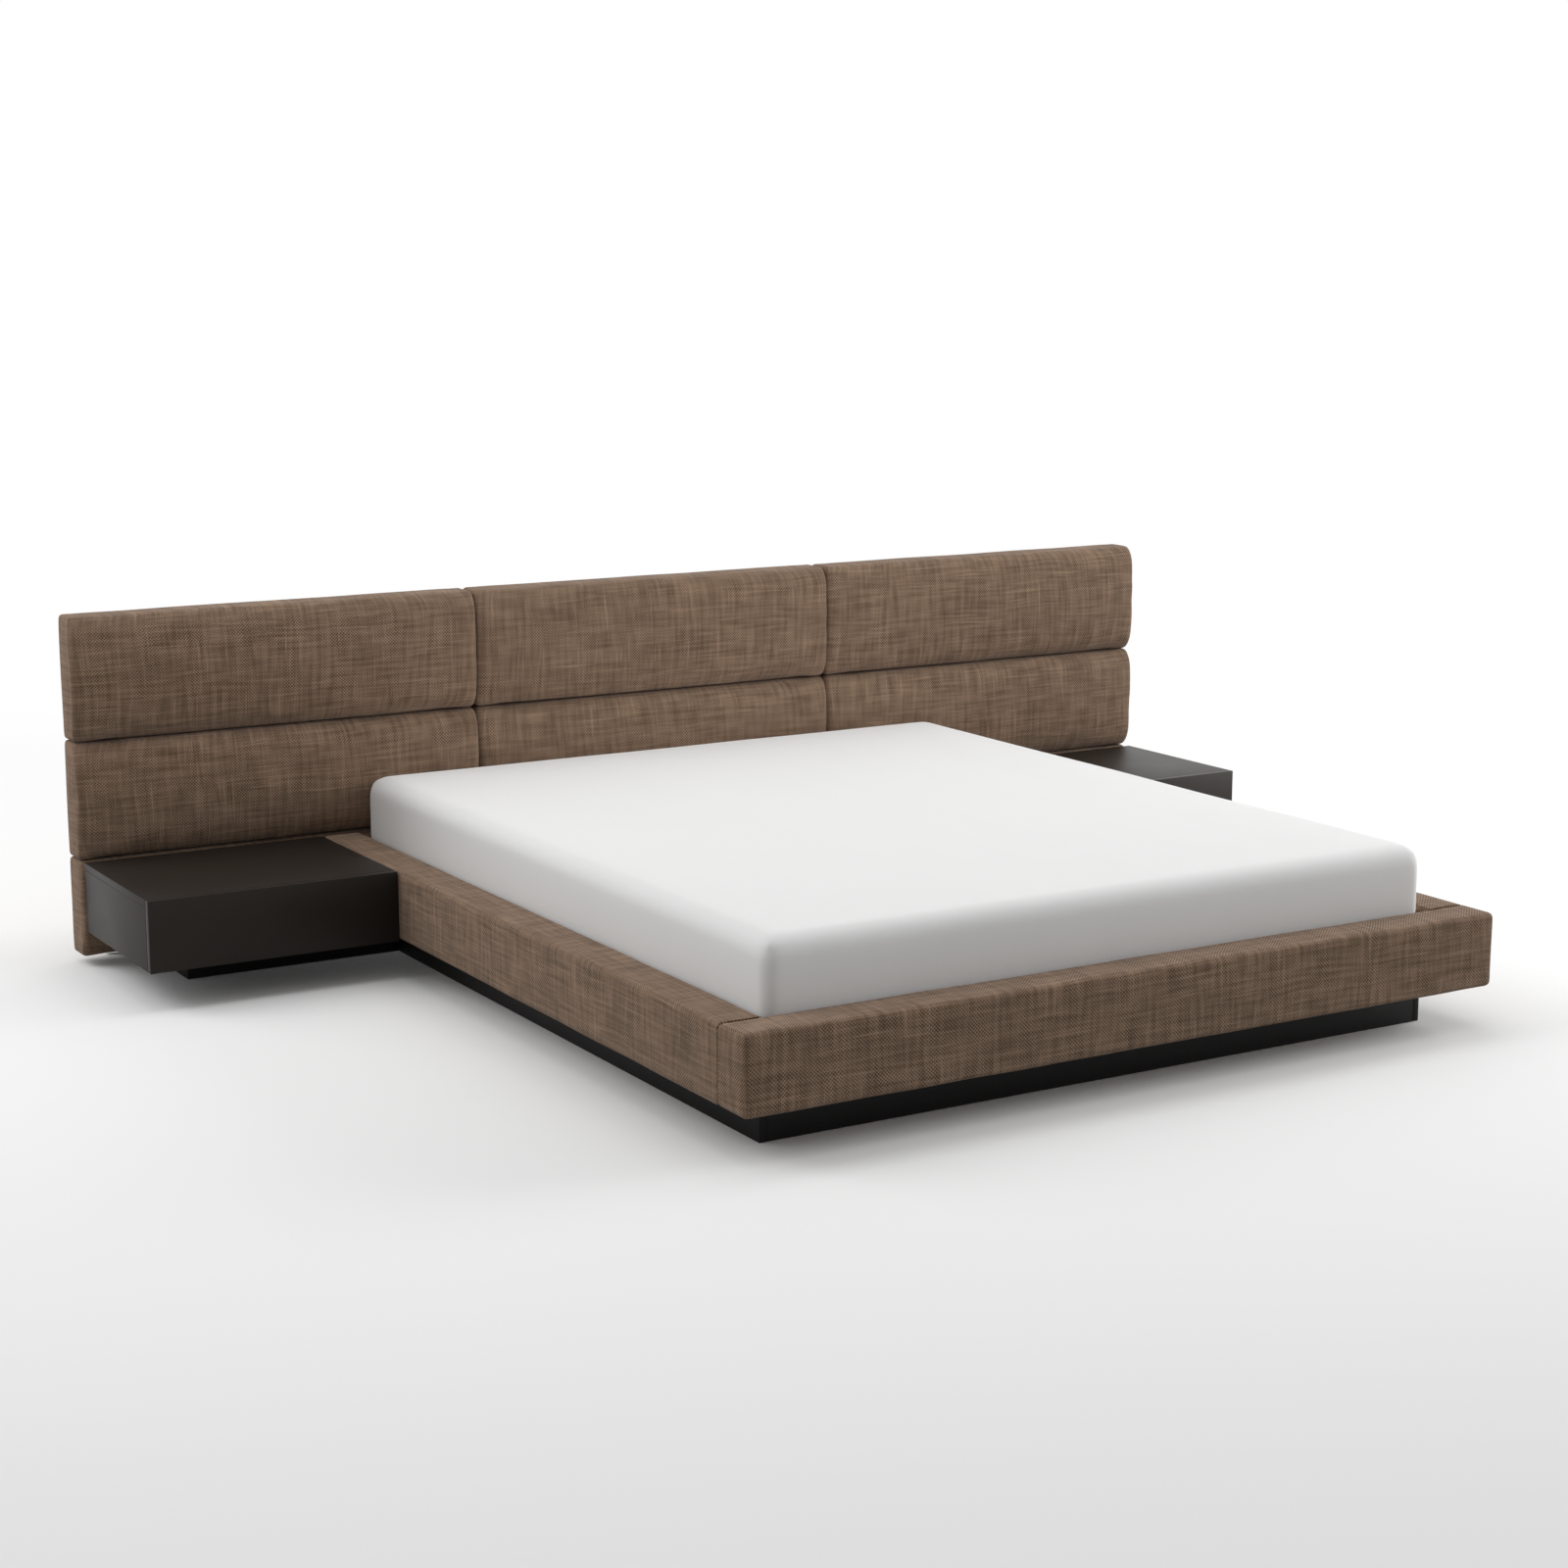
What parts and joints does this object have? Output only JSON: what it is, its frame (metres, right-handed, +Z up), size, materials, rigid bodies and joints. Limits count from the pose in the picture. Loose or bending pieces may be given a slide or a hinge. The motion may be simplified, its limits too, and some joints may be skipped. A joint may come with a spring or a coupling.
{
  "type": "bed with attached nightstands",
  "caption": "Low platform bed with a wide channelled upholstered headboard, wrapped rails on a recessed plinth, a mattress, and a drawer nightstand on each side.",
  "frame": {"origin": "centre of the footprint, on the floor", "axes": "+X across the bed to its right seen from the foot, +Y from the foot to the headboard, +Z up"},
  "size_m": [3.3838, 2.4, 0.9119],
  "materials": {
    "brown_fabric": "slubby woven upholstery fabric, matte",
    "white_ticking": "smooth white knitted ticking",
    "espresso_lacquer": "satin espresso lacquer",
    "black_lacquer": "satin black lacquer",
    "plywood": "plain birch plywood",
    "timber": "planed pine",
    "drawer_wood": "clear lacquered birch",
    "steel": "zinc-plated steel",
    "black_plastic": "moulded black plastic"
  },
  "bodies": {
    "frame": {"pad_left_lower": "brown_fabric", "pad_left_middle": "brown_fabric", "pad_left_upper": "brown_fabric", "pad_centre_lower": "brown_fabric", "pad_centre_middle": "brown_fabric", "pad_centre_upper": "brown_fabric", "pad_right_lower": "brown_fabric", "pad_right_middle": "brown_fabric", "pad_right_upper": "brown_fabric", "headboard_panel_left": "plywood", "headboard_panel_centre": "plywood", "headboard_panel_right": "plywood", "left_rail_core": "plywood", "left_rail_cover": "brown_fabric", "left_bearer": "timber", "left_plinth": "black_lacquer", "left_stand_top": "espresso_lacquer", "left_stand_sides": "espresso_lacquer", "left_stand_bottom": "espresso_lacquer", "left_stand_back": "espresso_lacquer", "left_stand_plinth": "black_lacquer", "left_runner_fixed": "steel", "right_rail_core": "plywood", "right_rail_cover": "brown_fabric", "right_bearer": "timber", "right_plinth": "black_lacquer", "right_stand_top": "espresso_lacquer", "right_stand_sides": "espresso_lacquer", "right_stand_bottom": "espresso_lacquer", "right_stand_back": "espresso_lacquer", "right_stand_plinth": "black_lacquer", "right_runner_fixed": "steel", "foot_rail_core": "plywood", "foot_rail_cover": "brown_fabric", "foot_bearer": "timber", "head_rail": "timber", "centre_beam": "timber", "centre_legs": "black_plastic", "slats": "timber", "plinth_foot": "black_lacquer", "plinth_head": "black_lacquer", "corner_brackets": "steel", "frame_bolts": "steel", "headboard_posts": "timber", "headboard_straps": "steel", "headboard_screws": "steel", "glides": "black_plastic"},
    "mattress": {"mattress": "white_ticking"},
    "left_drawer": {"left_drawer_front": "espresso_lacquer", "left_drawer_sides": "drawer_wood", "left_drawer_back": "drawer_wood", "left_drawer_bottom": "plywood", "left_runner_drawer": "steel"},
    "left_runner": {"left_runner_middle": "steel"},
    "right_drawer": {"right_drawer_front": "espresso_lacquer", "right_drawer_sides": "drawer_wood", "right_drawer_back": "drawer_wood", "right_drawer_bottom": "plywood", "right_runner_drawer": "steel"},
    "right_runner": {"right_runner_middle": "steel"}
  },
  "joints": [
    {"name": "mattress_lift", "type": "slide", "parent": "frame", "child": "mattress", "axis": [0, 0, 1], "range_m": [0, 0.3]},
    {"name": "left_drawer_slide", "type": "slide", "parent": "frame", "child": "left_drawer", "axis": [0, -1, 0], "range_m": [0, 0.34]},
    {"name": "left_runner_slide", "type": "slide", "parent": "frame", "child": "left_runner", "axis": [0, -1, 0], "range_m": [0, 0.17]},
    {"name": "right_drawer_slide", "type": "slide", "parent": "frame", "child": "right_drawer", "axis": [0, -1, 0], "range_m": [0, 0.34]},
    {"name": "right_runner_slide", "type": "slide", "parent": "frame", "child": "right_runner", "axis": [0, -1, 0], "range_m": [0, 0.17]}
  ],
  "couplings": [
    {"joint": "left_runner_slide", "follows": "left_drawer_slide", "ratio": 0.5},
    {"joint": "right_runner_slide", "follows": "right_drawer_slide", "ratio": 0.5}
  ]
}
